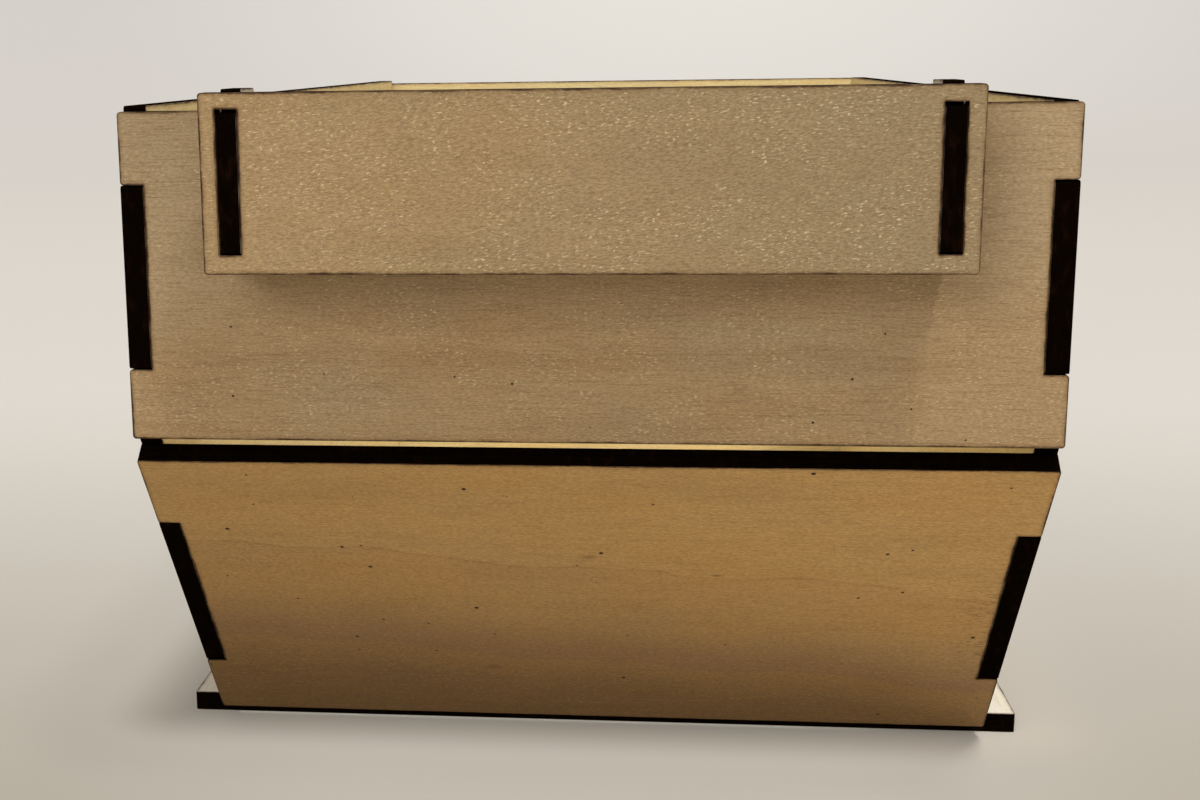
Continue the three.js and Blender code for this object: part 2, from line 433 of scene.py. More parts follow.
def edge_profile(thickness, cut):
    """The cross-section of a board's edge, as rows of inset and depth from face to face, and
    how many strips beside each face are wood. The others are char.

    On each face the insets fall to the eased edge. The edge is a quarter circle, with
    inset e (1 - sin a) and depth e (1 - cos a). Down the cut, each glue line between two
    plies is a shallow groove. The second half mirrors the first.
    """
    flat = np.stack([cut.scorch_reach * FACE_INSETS, 0.0 * FACE_INSETS], axis=1)
    quarter = np.linspace(0.0, math.pi / 2.0, EASE_ROWS)
    eased = cut.ease * np.stack([1.0 - np.sin(quarter), 1.0 - np.cos(quarter)], axis=1)
    lines = thickness * np.arange(1, cut.plies) / cut.plies
    across = GLUE_LINE_HALF * cut.groove * np.array([-1.0, 0.0, 1.0])
    depths = (lines[:, None] + across).ravel()
    insets = np.tile([0.0, cut.groove, 0.0], len(lines))
    grooves = np.stack([insets, depths], axis=1)
    upper = np.concatenate([flat, eased])
    lower = upper[::-1] * (1.0, -1.0) + (0.0, thickness)
    return np.concatenate([upper, grooves, lower]), len(flat) + WOODEN_STRIPS


def ring_faces(rows, count, first):
    """Four-sided faces between neighbouring rings of a loop, each ring closed on itself."""
    row, column = np.meshgrid(np.arange(rows - 1), np.arange(count), indexing="ij")
    beside = (column + 1) % count
    corners = [(row, column), (row + 1, column), (row + 1, beside), (row, beside)]
    return np.stack([first + r * count + c for r, c in corners], axis=-1).reshape(-1, 4)


def cap_triangles(rings):
    """The flat face inside an outer ring and round the rings of its holes, as triangles of
    the rings' points, all turning the same way as the outer ring."""
    polygons = [[Vector((x, y, 0.0)) for x, y in ring.tolist()] for ring in rings]
    triangles = np.array(tessellate_polygon(polygons))
    points = np.concatenate(rings)[triangles]
    turning = cross_flat(points[:, 1] - points[:, 0], points[:, 2] - points[:, 0])
    triangles[turning < 0] = triangles[turning < 0][:, ::-1]
    return triangles


def board_surface(sheet, cut):
    """The surface of a board: rings of its outline at each inset and depth of the edge
    profile, and a flat cap on both faces. Gives the points, the distance of each from the
    cut, the faces, and for each face whether it is near face, far face or cut."""
    profile, wooden = edge_profile(sheet.thickness, cut)
    rows = len(profile)
    strip = np.arange(rows - 1)
    strip_kinds = np.where(
        strip < wooden, NEAR_FACE, np.where(strip[::-1] < wooden, FAR_FACE, CUT_FACE)
    )
    places, insets, quads, kinds, near_rings, near_caps, far_caps = [], [], [], [], [], [], []
    first = 0
    for loop in sheet.loops:
        rings = np.stack([rounded_loop(loop, inset, cut) for inset, _ in profile])
        count = rings.shape[1]
        depth = np.repeat(profile[:, 1:], count, axis=1)
        places.append(sheet.place(rings, depth).reshape(-1, 3))
        insets.append(np.repeat(profile[:, 0], count))
        quads.append(ring_faces(rows, count, first))
        kinds.append(np.repeat(strip_kinds, count))
        near_rings.append(rings[0])
        near_caps.append(first + np.arange(count))
        far_caps.append(first + (rows - 1) * count + np.arange(count))
        first += rows * count
    widest_first = sorted(range(len(near_rings)), key=lambda k: -np.ptp(near_rings[k][:, 0]))
    triangles = cap_triangles([near_rings[k] for k in widest_first])
    near = np.concatenate([near_caps[k] for k in widest_first])[triangles]
    far = np.concatenate([far_caps[k] for k in widest_first])[triangles][:, ::-1]
    kinds += [np.full(len(near), NEAR_FACE), np.full(len(far), FAR_FACE)]
    faces = np.concatenate(quads).tolist() + near.tolist() + far.tolist()
    return np.concatenate(places), np.concatenate(insets), faces, np.concatenate(kinds)


def cut_board(name, node, facing, finishes):
    """A board in the place of a node. The finishes are those of the face that looks along
    `facing`, of the other face and of the cut."""
    sheet = Sheet(node, facing)
    cut = bpy.context.scene.storage_box_cut
    places, insets, faces, kinds = board_surface(sheet, cut)
    mesh = bpy.data.meshes.new(name)
    mesh.from_pydata(places.tolist(), [], faces)
    mesh.polygons.foreach_set("material_index", kinds)
    mesh.polygons.foreach_set("use_smooth", np.ones(len(faces), bool))
    edge = mesh.attributes.new("edge_mm", "FLOAT", "POINT")
    edge.data.foreach_set("value", insets / MM)
    mesh.set_sharp_from_angle(angle=SHARP_ANGLE)
    mesh.update()
    for finish in finishes:
        mesh.materials.append(finish)
    board = bpy.data.objects.new(name, mesh)
    bpy.context.scene.collection.objects.link(board)
    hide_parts(node)
    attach(board, "root")
    return board


NOISE_SPAN = (0.3, 0.7)  # most of a noise, which runs from 0 to 1, lies between these
NO_TURN = (0.0, 0.0, 0.0)

# The numbers of the sockets that a Mix node has for colours.
MIX_SHARE, MIX_FIRST, MIX_SECOND, MIX_RESULT = 0, 6, 7, 2


class Pattern(NamedTuple):
    """A noise: its sizes along the grain, across it and upwards, its detail and roughness,
    and how far it is shifted, in its own sizes, so that no two noises agree."""

    sizes: tuple
    detail: float = 2.0
    roughness: float = 0.5
    shift: float = 0.0


class Spots(NamedTuple):
    """Rare spots: the sizes of the cells of which each may hold one, the least and the
    greatest radius in cells, the share of a spot that hasn't faded, its strength and the
    shift of the cells."""

    sizes: tuple
    radii: tuple
    core: float
    strength: float
    shift: float


def along_grain(sizes, axis):
    """The sizes of a pattern along X, Y and Z, with the grain along X or along Y."""
    along, across, up = sizes
    return (along, across, up) if axis == 0 else (across, along, up)


def slanted(slant, axis):
    """A turn out of the grain in the plane of an upright board: about Y where the grain runs
    along X, and about X where it runs along Y."""
    return (0.0, -slant, 0.0) if axis == 0 else (slant, 0.0, 0.0)


def about(place, span):
    """The two places that lie the two distances of a span from a place."""
    return place + span[0], place + span[1]


class Finish:
    """A material under construction. Each method adds nodes and gives back their output."""

    def __init__(self, name):
        self.material = bpy.data.materials.new(name)
        self.material.use_nodes = True
        self.tree = self.material.node_tree
        self.tree.nodes.clear()

    def node(self, kind, inputs, **settings):
        node = self.tree.nodes.new(kind)
        for key, value in settings.items():
            setattr(node, key, value)
        for key, value in inputs.items():
            socket = node.inputs[key]
            if isinstance(value, bpy.types.NodeSocket):
                self.tree.links.new(value, socket)
            else:
                socket.default_value = value
        return node

    def math(self, operation, first, second=0.0):
        inputs = {0: first, 1: second}
        return self.node("ShaderNodeMath", inputs, operation=operation).outputs[0]

    def times(self, first, second):
        return self.math("MULTIPLY", first, second)

    def vector(self, operation, first, second=(0.0, 0.0, 0.0)):
        """A step with vectors. Its outputs are called Vector and Value."""
        inputs = {0: first, 1: second}
        return self.node("ShaderNodeVectorMath", inputs, operation=operation).outputs

    def place(self):
        """The place on the piece, in Object coordinates."""
        return self.node("ShaderNodeTexCoord", {}).outputs["Object"]

    def axes(self):
        """The place along X, Y and Z."""
        return self.node("ShaderNodeSeparateXYZ", {0: self.place()}).outputs

    def distance(self, point):
        """The distance of the place from a point."""
        return self.vector("DISTANCE", self.place(), point)["Value"]

    def edge(self):
        """The distance to the nearest cut, in millimetres."""
        node = self.node("ShaderNodeAttribute", {}, attribute_name="edge_mm")
        return node.outputs["Fac"]

    def ramp(self, value, levels, start=0.0, end=1.0):
        """Runs smoothly from start to end as the value goes from the first level to the
        second."""
        inputs = {0: value, 1: levels[0], 2: levels[1], 3: start, 4: end}
        node = self.node("ShaderNodeMapRange", inputs, interpolation_type="SMOOTHSTEP")
        return node.outputs[0]

    def mix(self, amount, first, second, blend="MIX"):
        """A colour between two: all of the second where the amount is 1."""
        colours = {
            MIX_FIRST: self.opaque(first), MIX_SECOND: self.opaque(second), MIX_SHARE: amount
        }
        node = self.node(
            "ShaderNodeMix", colours, data_type="RGBA", blend_type=blend, clamp_factor=True
        )
        return node.outputs[MIX_RESULT]

    def opaque(self, value):
        return value if isinstance(value, bpy.types.NodeSocket) else (*value, 1.0)

    def shade(self, base, level):
        """A colour times a level round 1."""
        grey = self.node("ShaderNodeCombineColor", {0: level, 1: level, 2: level}).outputs[0]
        return self.mix(1.0, base, grey, blend="MULTIPLY")

    def stretched(self, sizes, shift=0.0, turn=NO_TURN):
        """The place turned back and divided by a size along each axis, so that a pattern of
        size 1 gets those sizes and that turn. The shift is in sizes."""
        start = tuple(-shift * size for size in sizes)
        inputs = {"Vector": self.place(), "Location": start, "Rotation": turn, "Scale": sizes}
        return self.node("ShaderNodeMapping", inputs, vector_type="TEXTURE").outputs[0]

    def noise(self, pattern, axis=0, turn=NO_TURN):
        sizes = along_grain(pattern.sizes, axis)
        inputs = {
            "Vector": self.stretched(sizes, pattern.shift, turn), "Scale": 1.0,
            "Detail": pattern.detail, "Roughness": pattern.roughness,
        }
        return self.node("ShaderNodeTexNoise", inputs).outputs[0]

    def wander(self, pattern, reach):
        """A noise that runs smoothly between the reach to one side and to the other."""
        return self.ramp(self.noise(pattern), NOISE_SPAN, -reach, reach)

    def bump(self, height, depth):
        inputs = {"Height": height, "Distance": depth, "Strength": 1.0}
        return self.node("ShaderNodeBump", inputs).outputs[0]

    def surface(self, base, roughness, bump=None, specular=0.25):
        inputs = {"Base Color": base, "Roughness": roughness, "Specular IOR Level": specular}
        if bump is not None:
            inputs["Normal"] = bump
        shader = self.node("ShaderNodeBsdfPrincipled", inputs)
        self.node("ShaderNodeOutputMaterial", {"Surface": shader.outputs[0]})
        return self.material


# The scorch beside a cut. The reaches are in millimetres.
SLOW_WANDER = Pattern((9 * MM,) * 3, shift=3.0)
SLOW_REACH = 0.1
FAST_WANDER = Pattern((0.9 * MM,) * 3, shift=7.0)
FAST_REACH = 0.05
BROWNED_REACH = (0.05, 1.05)
LINE_REACH = (0.1, 0.42)
LINE_FADING = Pattern((4 * MM,) * 3, shift=9.0)
FADING_LEVELS = (0.35, 0.6)
FADED_LINE = 0.6  # the strength of the line where it fades most


def scorched(finish, base, scorch):
    """The wood colour browned beside each cut, and the thin dark line along it. The distance
    to the cut is made uneven by two noises before it is compared with each reach, and the
    line fades in and out along the cut."""
    slow = finish.wander(SLOW_WANDER, SLOW_REACH)
    fast = finish.wander(FAST_WANDER, FAST_REACH)
    uneven = finish.math("ADD", finish.edge(), finish.math("ADD", slow, fast))
    browned = finish.ramp(uneven, BROWNED_REACH, scorch.smoke_share, 0.0)
    strength = finish.ramp(finish.noise(LINE_FADING), FADING_LEVELS, FADED_LINE, 1.0)
    line = finish.times(finish.ramp(uneven, LINE_REACH, 1.0, 0.0), strength)
    smoky = finish.mix(browned, base, scorch.smoke)
    return finish.mix(line, smoky, scorch.line)


SPOT_RIM = 1.1  # where a spot ends, in its radii


def spotted(finish, base, spots, shown, tone, axis=0):
    """A colour with rare dark spots. The cells of a Voronoi pattern whose first random number
    is below the shown share get a spot round their point. Its radius is drawn between the
    two radii by the second random number. It fades from its core to a rim a little past the
    radius."""
    place = finish.stretched(along_grain(spots.sizes, axis), spots.shift)
    cells = finish.node("ShaderNodeTexVoronoi", {"Vector": place, "Scale": 1.0})
    draws = finish.node("ShaderNodeSeparateColor", {0: cells.outputs["Color"]}).outputs
    chosen = finish.math("LESS_THAN", draws[0], shown)
    radius = finish.ramp(draws[1], (0.0, 1.0), *spots.radii)
    out = finish.math("DIVIDE", cells.outputs["Distance"], radius)
    spot = finish.ramp(out, (spots.core, SPOT_RIM), spots.strength, 0.0)
    return finish.mix(finish.times(spot, chosen), base, tone)


# The birch. The levels of a noise are those between which its marks come in.
BROAD_FIGURE = Pattern((42 * MM, 6 * MM, 6 * MM), detail=4.0, roughness=0.55)
BROAD_LEVELS = (0.42, 0.72)
BROAD_SHARE = 0.25
PATCHES = Pattern((30 * MM, 14 * MM, 14 * MM), detail=3.0, shift=11.0)
WARM_LEVELS = (0.5, 0.66)
COOL_LEVELS = (0.34, 0.5)
DASH_LEVELS = (0.48, 0.68)
HAIR_LENGTH = 5.0  # in lengths of a dash
HAIR_WIDTH = 0.8  # in widths of a dash
HAIR_LEVELS = (0.56, 0.74)
HAIR_SHARE = 0.8  # of the strength of the dashes
FIBRES = Pattern((0.8 * MM, 0.26 * MM, 0.26 * MM), roughness=0.7, shift=23.0)
FLECKS = Pattern((0.8 * MM, 0.28 * MM, 0.28 * MM), detail=1.0, shift=5.0)
FLECK_LEVELS = (0.6, 0.73)
CLUSTERS = Pattern((9 * MM,) * 3, shift=19.0)
CLUSTER_LEVELS = (0.3, 0.6)
PIN_SPECKS = Spots(
    (4.8 * MM, 4 * MM, 4 * MM), radii=(0.035, 0.1), core=0.7, strength=0.95, shift=13.0
)
SPECK_TONE = linear(30, 16, 8)
PORE_LEVELS = (0.45, 0.7)
PORE_DEPTH = 0.015 * MM
DULL_LEVELS = (0.4, 0.7)
WOOD_ROUGHNESS = (0.6, 0.78)


def birch(name, wood, scorch, axis, figure=None):
    """A birch veneer: warm and grey patches, a broad figure, short fibres that lighten and
    darken, fine dark grain, clusters of bright flecks and rare pin specks, all drawn out
    along the grain, and the scorch at the cuts."""
    finish = Finish(name)
    slant = slanted(wood.slant, axis)
    long, thin = wood.dash_length, wood.dash_width
    dashes = Pattern((long, thin, thin), detail=3.0, roughness=0.6, shift=1.0)
    hairs = Pattern((HAIR_LENGTH * long, HAIR_WIDTH * thin, HAIR_WIDTH * thin), shift=17.0)
    broad = finish.noise(BROAD_FIGURE, axis)
    patch = finish.noise(PATCHES, axis)
    dash = finish.noise(dashes, axis)
    hair = finish.noise(hairs, axis)
    fibre = finish.noise(FIBRES, axis, slant)
    fleck = finish.noise(FLECKS, axis, slant)
    warm = finish.ramp(patch, WARM_LEVELS, 0.0, wood.patch_share)
    base = finish.mix(warm, wood.wood, wood.warm)
    cool = finish.ramp(patch, COOL_LEVELS, wood.patch_share, 0.0)
    base = finish.mix(cool, base, wood.cool)
    base = finish.mix(finish.ramp(broad, BROAD_LEVELS, 0.0, BROAD_SHARE), base, wood.streak)
    if figure is not None:
        base = figure(finish, base, wood)
    fine = finish.ramp(dash, DASH_LEVELS, 0.0, wood.dash_share)
    base = finish.mix(fine, base, wood.streak)
    long_fine = finish.ramp(hair, HAIR_LEVELS, 0.0, HAIR_SHARE * wood.dash_share)
    base = finish.mix(long_fine, base, wood.streak)
    tone = finish.ramp(fibre, NOISE_SPAN, 1.0 - wood.fibre_share, 1.0 + wood.fibre_share)
    base = finish.shade(base, tone)
    cluster = finish.ramp(finish.noise(CLUSTERS), CLUSTER_LEVELS)
    bright = finish.times(finish.ramp(fleck, FLECK_LEVELS, 0.0, wood.fleck_share), cluster)
    base = finish.mix(bright, base, wood.fleck)
    base = spotted(finish, base, PIN_SPECKS, wood.speck_share, SPECK_TONE, axis)
    base = scorched(finish, base, scorch)
    pores = finish.bump(finish.ramp(dash, PORE_LEVELS, 1.0, 0.0), PORE_DEPTH)
    return finish.surface(base, finish.ramp(dash, DULL_LEVELS, *WOOD_ROUGHNESS), pores)


# Where the painted shade greys the grip plate towards its right end.
RIGHT_SHADE_SPAN = (-70 * MM, 62 * MM)  # from where to where the plate greys, along X


def grip_right_shade(finish, base, wood):
    """Painted shade on the grip plate: it greys and darkens a little towards its right end, where
    the light falls off.
    """
    across = finish.axes()[0]
    right = finish.ramp(across, RIGHT_SHADE_SPAN, 0.0, wood.right_shade_share)
    return finish.mix(right, base, wood.right_shade)


# Where the painted light makes the upper front greyer and paler beside the grip plate.
LIT_GREY_SIDE = (55 * MM, 72 * MM)  # off the middle
LIT_GREY_RISE = (84 * MM, 110 * MM)
LIT_GREY_LOW_SHARE = 0.1  # of the grey, low down


def upper_front_painted_light(finish, base, wood):
    """Painted light on the upper front: beside the grip plate it is greyer and paler, the more so
    the higher it is, for the cool direct light there against the warmer shade under the plate."""
    across, _, height = finish.axes()
    side = finish.ramp(finish.math("ABSOLUTE", across), LIT_GREY_SIDE)
    low_share = LIT_GREY_LOW_SHARE * wood.grey_light_share
    high = finish.ramp(height, LIT_GREY_RISE, low_share, wood.grey_light_share)
    return finish.mix(finish.times(side, high), base, wood.grey)


# The figure of the lower front. What lies about the line or the band is measured from it.
ENDLESS = 10.0  # a size that leaves a noise the same all along that axis
LINE_SLOPE = 0.075
LINE_SWAY = Pattern((30 * MM, ENDLESS, ENDLESS), detail=3.0, shift=2.0)
SWAY_REACH = 1.3 * MM
LINE_STRENGTH = Pattern((14 * MM, ENDLESS, ENDLESS), shift=4.0)
STRENGTH_LEVELS = (0.35, 0.6)
STRENGTH_RANGE = (0.06, 0.34)
LINE_WIDTH = (0.05 * MM, 0.45 * MM)
RED_RISE = (-20 * MM, -1 * MM)  # about the line
RED_END = (-0.5 * MM, 0.7 * MM)
RED_SHARE = 0.16
BAND_BORDER = (0.0, 1 * MM)  # about the band's height
BAND_FADING = (2 * MM, 16 * MM)
# Where the painted shade darkens the lower front: up from the toe, and across from the left.
TOE_SHADE_RISE = (4 * MM, 46 * MM)
LEFT_SHADE_SIDE = (-80 * MM, 70 * MM)
STAINS = Spots(
    (20 * MM, 9 * MM, 9 * MM), radii=(0.06, 0.13), core=0.1, strength=0.55, shift=31.0
)
STAINED_CELLS = 0.6
SOOTY_DASHES = Pattern((1.8 * MM, 0.5 * MM, 0.34 * MM), detail=1.0, shift=29.0)
SOOT_LEVELS = (0.54, 0.66)
SOOT_SHARE = 0.5
SOOT_SIDE = (67 * MM, 75 * MM)
SOOT_START = (16 * MM, 26 * MM)
SOOT_END = (40 * MM, 46 * MM)


def growth_line(finish, base, wood, level):
    """A thin line at one level, which comes and goes along X, and the redder wood right
    under it."""
    top = wood.line_height
    off = finish.math("ABSOLUTE", finish.math("SUBTRACT", level, top))
    strength = finish.ramp(finish.noise(LINE_STRENGTH), STRENGTH_LEVELS, *STRENGTH_RANGE)
    line = finish.times(finish.ramp(off, LINE_WIDTH, 1.0, 0.0), strength)
    base = finish.mix(line, base, wood.line)
    rising = finish.ramp(level, about(top, RED_RISE), 0.0, RED_SHARE)
    under = finish.ramp(level, about(top, RED_END), 1.0, 0.0)
    return finish.mix(finish.times(rising, under), base, wood.line)


def rosy_band(finish, base, wood, level):
    """A rosy band with a sharp lower border that fades upwards."""
    border = finish.ramp(level, about(wood.band_height, BAND_BORDER))
    fading = finish.ramp(level, about(wood.band_height, BAND_FADING), wood.band_share, 0.0)
    return finish.mix(finish.times(border, fading), base, wood.band)


def sooty_dashes(finish, base, wood, across, height):
    """Short sooty dashes beside the right notch."""
    dashes = finish.ramp(finish.noise(SOOTY_DASHES), SOOT_LEVELS, 0.0, SOOT_SHARE)
    beside = finish.times(finish.ramp(across, SOOT_SIDE), finish.ramp(height, SOOT_START))
    beside = finish.times(beside, finish.ramp(height, SOOT_END, 1.0, 0.0))
    return finish.mix(finish.times(dashes, beside), base, wood.soot)


def lower_front_figure_and_shade(finish, base, wood):
    """The figure of the lower front, with painted shade. The marks lie at one level: the height
    plus a slope along X, less a sway along X. They are a growth line, and a rosy band below it.
    Painted shade darkens the wood towards the toe, where the board faces down near the floor, and
    on the left, away from the light at the right. It has a few soft stains, and short sooty
    dashes."""
    across, _, height = finish.axes()
    sloping = finish.math("ADD", height, finish.times(across, LINE_SLOPE))
    level = finish.math("SUBTRACT", sloping, finish.wander(LINE_SWAY, SWAY_REACH))
    base = growth_line(finish, base, wood, level)
    base = rosy_band(finish, base, wood, level)
    # Painted shade towards the toe and on the left half.
    base = finish.mix(finish.ramp(level, TOE_SHADE_RISE, wood.toe_shade_share, 0.0), base, wood.toe)
    base = finish.mix(finish.ramp(across, LEFT_SHADE_SIDE, wood.left_shade_share, 0.0), base, wood.toe)
    base = spotted(finish, base, STAINS, STAINED_CELLS, wood.stain)
    return sooty_dashes(finish, base, wood, across, height)


SOOT_STREAKS = Pattern((1.6 * MM, 3 * MM, 3 * MM), detail=5.0, roughness=0.6)
ASH_LEVELS = (0.5, 0.78)
CUT_GRAIN = Pattern((0.5 * MM,) * 3, detail=3.0, shift=2.0)
CUT_GRAIN_DEPTH = 0.05 * MM


def charred_cut(scorch):
    """The cut faces: burnt nearly black, with thin lighter streaks along the plies."""
    finish = Finish("charred_cut")
    base = finish.mix(
        finish.ramp(finish.noise(SOOT_STREAKS), ASH_LEVELS), scorch.char, scorch.ash
    )
    grain = finish.bump(finish.noise(CUT_GRAIN), CUT_GRAIN_DEPTH)
    return finish.surface(base, roughness=0.95, bump=grain, specular=0.0)


def veneer(kind, axis=0, figure=None):
    """The veneer finish of a kind with its grain along an axis, made once and shared."""
    name = kind + "_birch_" + "xyz"[axis]
    scene = bpy.context.scene
    wood = getattr(scene, "storage_box_" + kind)
    made = bpy.data.materials.get(name)
    return made or birch(name, wood, scene.storage_box_scorch, axis, figure)


def cut_finish():
    """The finish of the cut faces, made once and shared."""
    made = bpy.data.materials.get("charred_cut")
    return made or charred_cut(bpy.context.scene.storage_box_scorch)


class STORAGEBOX_OT_front(bpy.types.Operator):
    """Cuts the upright upper front and the leaning lower front"""

    bl_idname = "storage_box.front"
    bl_label = "Front Boards"

    def execute(self, context):
        upper = [veneer("upper", figure=upper_front_painted_light), veneer("inner"), cut_finish()]
        lower = [veneer("lower", figure=lower_front_figure_and_shade), veneer("inner"), cut_finish()]
        cut_board("upper_front_board", "upper_front_panel", (0, -1, 0), upper)
        cut_board("lower_front_board", "lower_front_panel", (0, -1, -1), lower)
        return {"FINISHED"}


class STORAGEBOX_OT_sides(bpy.types.Operator):
    """Cuts the two side walls with their tabs and feet"""

    bl_idname = "storage_box.sides"
    bl_label = "Side Walls"

    def execute(self, context):
        finishes = [veneer("outer", 1), veneer("inner", 1), cut_finish()]
        cut_board("left_side_board", "left_wall", (-1, 0, 0), finishes)
        cut_board("right_side_board", "right_wall", (1, 0, 0), finishes)
        return {"FINISHED"}


class STORAGEBOX_OT_back(bpy.types.Operator):
    """Cuts the back panel with its feet"""

    bl_idname = "storage_box.back"
    bl_label = "Back Board"

    def execute(self, context):
        finishes = [veneer("outer"), veneer("inner"), cut_finish()]
        cut_board("back_board", "back_panel", (0, 1, 0), finishes)
        return {"FINISHED"}


class STORAGEBOX_OT_floor(bpy.types.Operator):
    """Cuts the base with its slots and notches"""

    bl_idname = "storage_box.floor"
    bl_label = "Base Board"

    def execute(self, context):
        # The top of the base takes the painted light of the nearly white veneer.
        finishes = [veneer("pale", 1), veneer("outer", 1), cut_finish()]
        cut_board("base_board", "base_plate", (0, 0, 1), finishes)
        return {"FINISHED"}


class STORAGEBOX_OT_grip(bpy.types.Operator):
    """Cuts the grip plate and the two boards that hold it off the front"""

    bl_idname = "storage_box.grip"
    bl_label = "Grip"

    def execute(self, context):
        plate = [veneer("grip", figure=grip_right_shade), veneer("outer"), cut_finish()]
        # The grip boards' inner faces take the painted light of the nearly white veneer.
        board = [veneer("outer", 1), veneer("pale", 1), cut_finish()]
        cut_board("grip_bar", "grip_plate", (0, -1, 0), plate)
        cut_board("left_grip_spacer", "left_grip_board", (-1, 0, 0), board)
        cut_board("right_grip_spacer", "right_grip_board", (1, 0, 0), board)
        return {"FINISHED"}


# The stage. Spans are distances over which a tone of the paper changes, in metres, and
# FLOOR_GAP keeps the floor off the underside of the base. Each lamp has its direction from
# the middle of the front, its distance and the width of its disk.
FLOOR_GAP = 0.05 * MM
HUB_RADIUS = 0.05
FLOOR_SHADE_SPAN = (-0.2, 0.35)
# Painted shade darkens the floor's front corners beside the box.
SHADED_CORNER_SPAN = (0.04, 0.13)
CORNER_SHADE_DEPTH = 0.1
BACKDROP_SPAN = (0.9, 3.0)
# A painted pool of light on the backdrop, round this point.
LIGHT_POOL_PLACE = (0.1, 2.8, 0.2)
LIGHT_POOL_SPAN = (0.2, 1.15)
LAMPS = {
    "key": ((0.25, -0.34, 0.9), 1.5, 0.2),
    "fill": ((-0.38, -0.82, 0.43), 1.7, 1.0),
    "side": ((0.75, -0.65, 0.07), 0.9, 0.12),
    "top": ((0.22, -0.02, 0.97), 1.3, 0.25),
}
FRAME_WIDTH_MM = 36.0
NEAR_CLIP = 0.01


def stage_bowl(radius, height, curve, rings, spokes):
    """The floor and the backdrop as one surface of revolution: points at angle t and arc
    length s of a profile that runs out flat, turns up through a quarter circle and rises
    straight. Point = (r(s) cos t, r(s) sin t, z(s)), and the middle is one shared point."""
    flat = np.linspace(HUB_RADIUS, radius - curve, rings)
    bend = np.linspace(0.0, math.pi / 2.0, rings)[1:]
    out = np.concatenate([flat, radius - curve + curve * np.sin(bend), [radius]])
    rise = np.concatenate([0.0 * flat, curve - curve * np.cos(bend), [height]]) - FLOOR_GAP
    turn = np.linspace(0.0, 2.0 * math.pi, spokes, endpoint=False)
    x = out[:, None] * np.cos(turn)
    y = out[:, None] * np.sin(turn)
    z = np.repeat(rise[:, None], spokes, axis=1)
    middle = np.array([[0.0, 0.0, rise[0]]])
    places = np.concatenate([middle, np.stack([x, y, z], axis=-1).reshape(-1, 3)])
    quads = ring_faces(len(out), spokes, 1)
    spoke = np.arange(spokes)
    hub = np.stack([0 * spoke, 1 + spoke, 1 + (spoke + 1) % spokes], axis=1)
    return places, quads.tolist() + hub.tolist()


def off_base(finish):
    """The distance from the base's outline: the length of the place's distance from the
    base's middle along each axis, less half the base's size there, and at least nil."""
    low, high = (Vector(corner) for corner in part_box("base_plate"))
    from_middle = finish.vector("SUBTRACT", finish.place(), 0.5 * (low + high))["Vector"]
    unsigned = finish.vector("ABSOLUTE", from_middle)["Vector"]
    past_edge = finish.vector("SUBTRACT", unsigned, 0.5 * (high - low))["Vector"]
    outside = finish.vector("MAXIMUM", past_edge)["Vector"]
    return finish.vector("LENGTH", outside)["Value"]


def paper(stage):
    """Pale paper with painted light and shade. Its tone runs from a darker floor of painted shade
    in front of the box to the floor beside it, then towards the backdrop, where a painted pool of
    light round one point is lighter. The floor's front corners are darkened with painted shade.
    What the camera sees is mostly the tone itself, least so beside the base, and the rest takes
    the lamps' light and shadow."""
    finish = Finish("studio_paper")
    across, away, _ = finish.axes()
    # Painted shade on the floor in front of the box and at its front corners.
    corner = finish.ramp(finish.math("ABSOLUTE", across), SHADED_CORNER_SPAN, 0.0, CORNER_SHADE_DEPTH)
    depth = finish.math("SUBTRACT", away, corner)
    beside = finish.ramp(depth, about(FRONT_PLANE, FLOOR_SHADE_SPAN))
    floor = finish.mix(beside, stage.painted_shade_floor, stage.far_floor)
    out = finish.ramp(finish.distance((0.0, 0.0, 0.0)), BACKDROP_SPAN)
    tone = finish.mix(out, floor, stage.backdrop)
    # A painted pool of light on the backdrop.
    pool = finish.ramp(finish.distance(LIGHT_POOL_PLACE), LIGHT_POOL_SPAN, 1.0, 0.0)
    tone = finish.mix(pool, tone, stage.painted_light_glow)
    finish.surface(tone, roughness=0.9, specular=0.1)
    output = finish.tree.nodes["Material Output"].inputs["Surface"]
    lit = output.links[0].from_socket
    own = finish.node("ShaderNodeEmission", {"Color": tone, "Strength": 1.0}).outputs[0]
    path = finish.node("ShaderNodeLightPath", {}).outputs
    seen = finish.math("MAXIMUM", path["Is Camera Ray"], path["Is Glossy Ray"])
    seen = finish.math("MAXIMUM", seen, path["Is Transmission Ray"])
    contact = (0.0, stage.contact)
    share = finish.ramp(off_base(finish), contact, stage.contact_light, stage.paper_light)
    inputs = {0: finish.times(seen, share), 1: lit, 2: own}
    mixed = finish.node("ShaderNodeMixShader", inputs).outputs[0]
    finish.tree.links.new(mixed, output)
    return finish.material


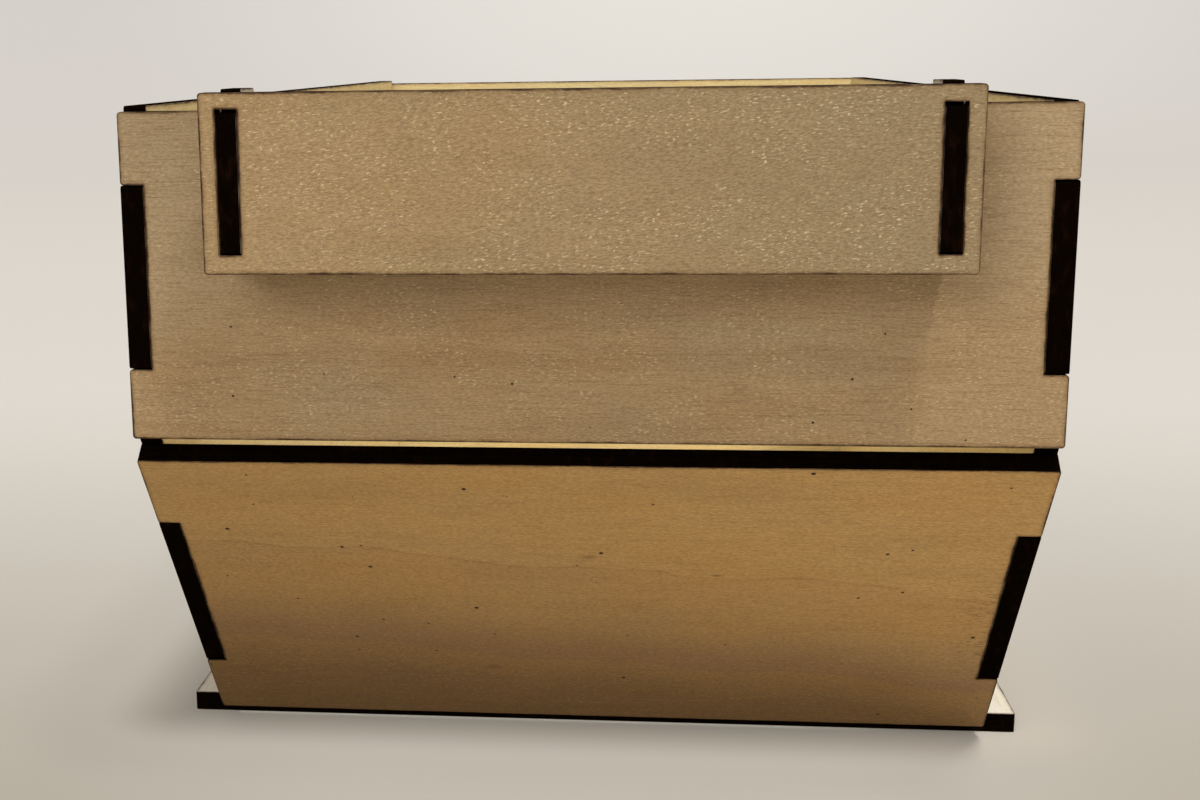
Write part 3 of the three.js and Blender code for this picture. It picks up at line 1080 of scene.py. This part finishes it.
class STORAGEBOX_OT_stage(bpy.types.Operator):
    """Sets up the floor, the backdrop, the lamps and the camera"""

    bl_idname = "storage_box.stage"
    bl_label = "Stage"

    def execute(self, context):
        stage = context.scene.storage_box_stage
        self.backdrop(context, stage)
        self.lamps(context, stage)
        self.camera(context, stage)
        context.scene.view_settings.view_transform = "Standard"
        return {"FINISHED"}

    def backdrop(self, context, stage):
        places, faces = stage_bowl(radius=3.0, height=3.0, curve=1.2, rings=12, spokes=96)
        mesh = bpy.data.meshes.new("studio_floor")
        mesh.from_pydata(places.tolist(), [], faces)
        mesh.polygons.foreach_set("use_smooth", np.ones(len(faces), bool))
        mesh.materials.append(paper(stage))
        floor = bpy.data.objects.new("studio_floor", mesh)
        context.scene.collection.objects.link(floor)
        world = bpy.data.worlds.new("studio_light")
        world.use_nodes = True
        light = world.node_tree.nodes["Background"]
        light.inputs["Color"].default_value = (1.0, 1.0, 1.0, 1.0)
        light.inputs["Strength"].default_value = stage.sky_level
        context.scene.world = world

    def lamps(self, context, stage):
        """A steep key lamp, a wide fill in front, a weak low lamp at the right, and a lamp
        over the open top. All look at the middle of the front."""
        middle = Vector((0.0, FRONT_PLANE, 0.5 * RIM))
        for name, (direction, distance, width) in LAMPS.items():
            data = bpy.data.lights.new(name + "_lamp", "AREA")
            data.shape = "DISK"
            data.size = width
            data.energy = getattr(stage, name + "_power")
            lamp = bpy.data.objects.new(name + "_lamp", data)
            lamp.location = middle + distance * Vector(direction)
            lamp.rotation_euler = (middle - lamp.location).to_track_quat("-Z", "Y").to_euler()
            lamp.visible_camera = False
            context.scene.collection.objects.link(lamp)

    def camera(self, context, stage):
        """The camera looks along +Y, then turns, tilts and rolls about its own axes."""
        data = bpy.data.cameras.new("camera")
        data.sensor_fit = "HORIZONTAL"
        data.sensor_width = FRAME_WIDTH_MM
        data.lens = stage.focal_length
        data.shift_x = stage.shift_x
        data.shift_y = stage.shift_y
        data.clip_start = NEAR_CLIP
        camera = bpy.data.objects.new("camera", data)
        context.scene.collection.objects.link(camera)
        place = (stage.camera_side, FRONT_PLANE - stage.camera_away, stage.camera_height)
        camera.matrix_world = (
            Matrix.Translation(place)
            @ Matrix.Rotation(math.pi / 2.0, 4, "X")
            @ Matrix.Rotation(stage.camera_turn, 4, "Y")
            @ Matrix.Rotation(-stage.camera_tilt, 4, "X")
            @ Matrix.Rotation(stage.camera_roll, 4, "Z")
        )
        context.scene.camera = camera


class STORAGEBOX_PT_panel(bpy.types.Panel):
    """The steps that build the box, in their order"""

    bl_idname = "STORAGEBOX_PT_panel"
    bl_label = "Storage Box"
    bl_space_type = "VIEW_3D"
    bl_region_type = "UI"
    bl_category = "Storage Box"

    def draw(self, context):
        for operator in OPERATORS:
            self.layout.operator(operator.bl_idname)


OPERATORS = (
    STORAGEBOX_OT_stage,
    STORAGEBOX_OT_floor,
    STORAGEBOX_OT_sides,
    STORAGEBOX_OT_back,
    STORAGEBOX_OT_front,
    STORAGEBOX_OT_grip,
)
SETTINGS = {
    "storage_box_cut": CutSettings,
    "storage_box_grip": GripVeneerSettings,
    "storage_box_upper": UpperVeneerSettings,
    "storage_box_lower": LowerVeneerSettings,
    "storage_box_outer": OuterVeneerSettings,
    "storage_box_inner": LitInnerVeneerSettings,
    "storage_box_pale": LitPaleVeneerSettings,
    "storage_box_scorch": ScorchSettings,
    "storage_box_stage": StageSettings,
}


def register():
    for name, settings in SETTINGS.items():
        bpy.utils.register_class(settings)
        setattr(bpy.types.Scene, name, bpy.props.PointerProperty(type=settings))
    for operator in OPERATORS:
        bpy.utils.register_class(operator)
    bpy.utils.register_class(STORAGEBOX_PT_panel)


def unregister():
    bpy.utils.unregister_class(STORAGEBOX_PT_panel)
    for operator in reversed(OPERATORS):
        bpy.utils.unregister_class(operator)
    for name, settings in reversed(SETTINGS.items()):
        delattr(bpy.types.Scene, name)
        bpy.utils.unregister_class(settings)


def main():
    register()
    bpy.ops.storage_box.stage()
    bpy.ops.storage_box.floor()
    bpy.ops.storage_box.sides()
    bpy.ops.storage_box.back()
    bpy.ops.storage_box.front()
    bpy.ops.storage_box.grip()


if __name__ == "__main__":
    main()
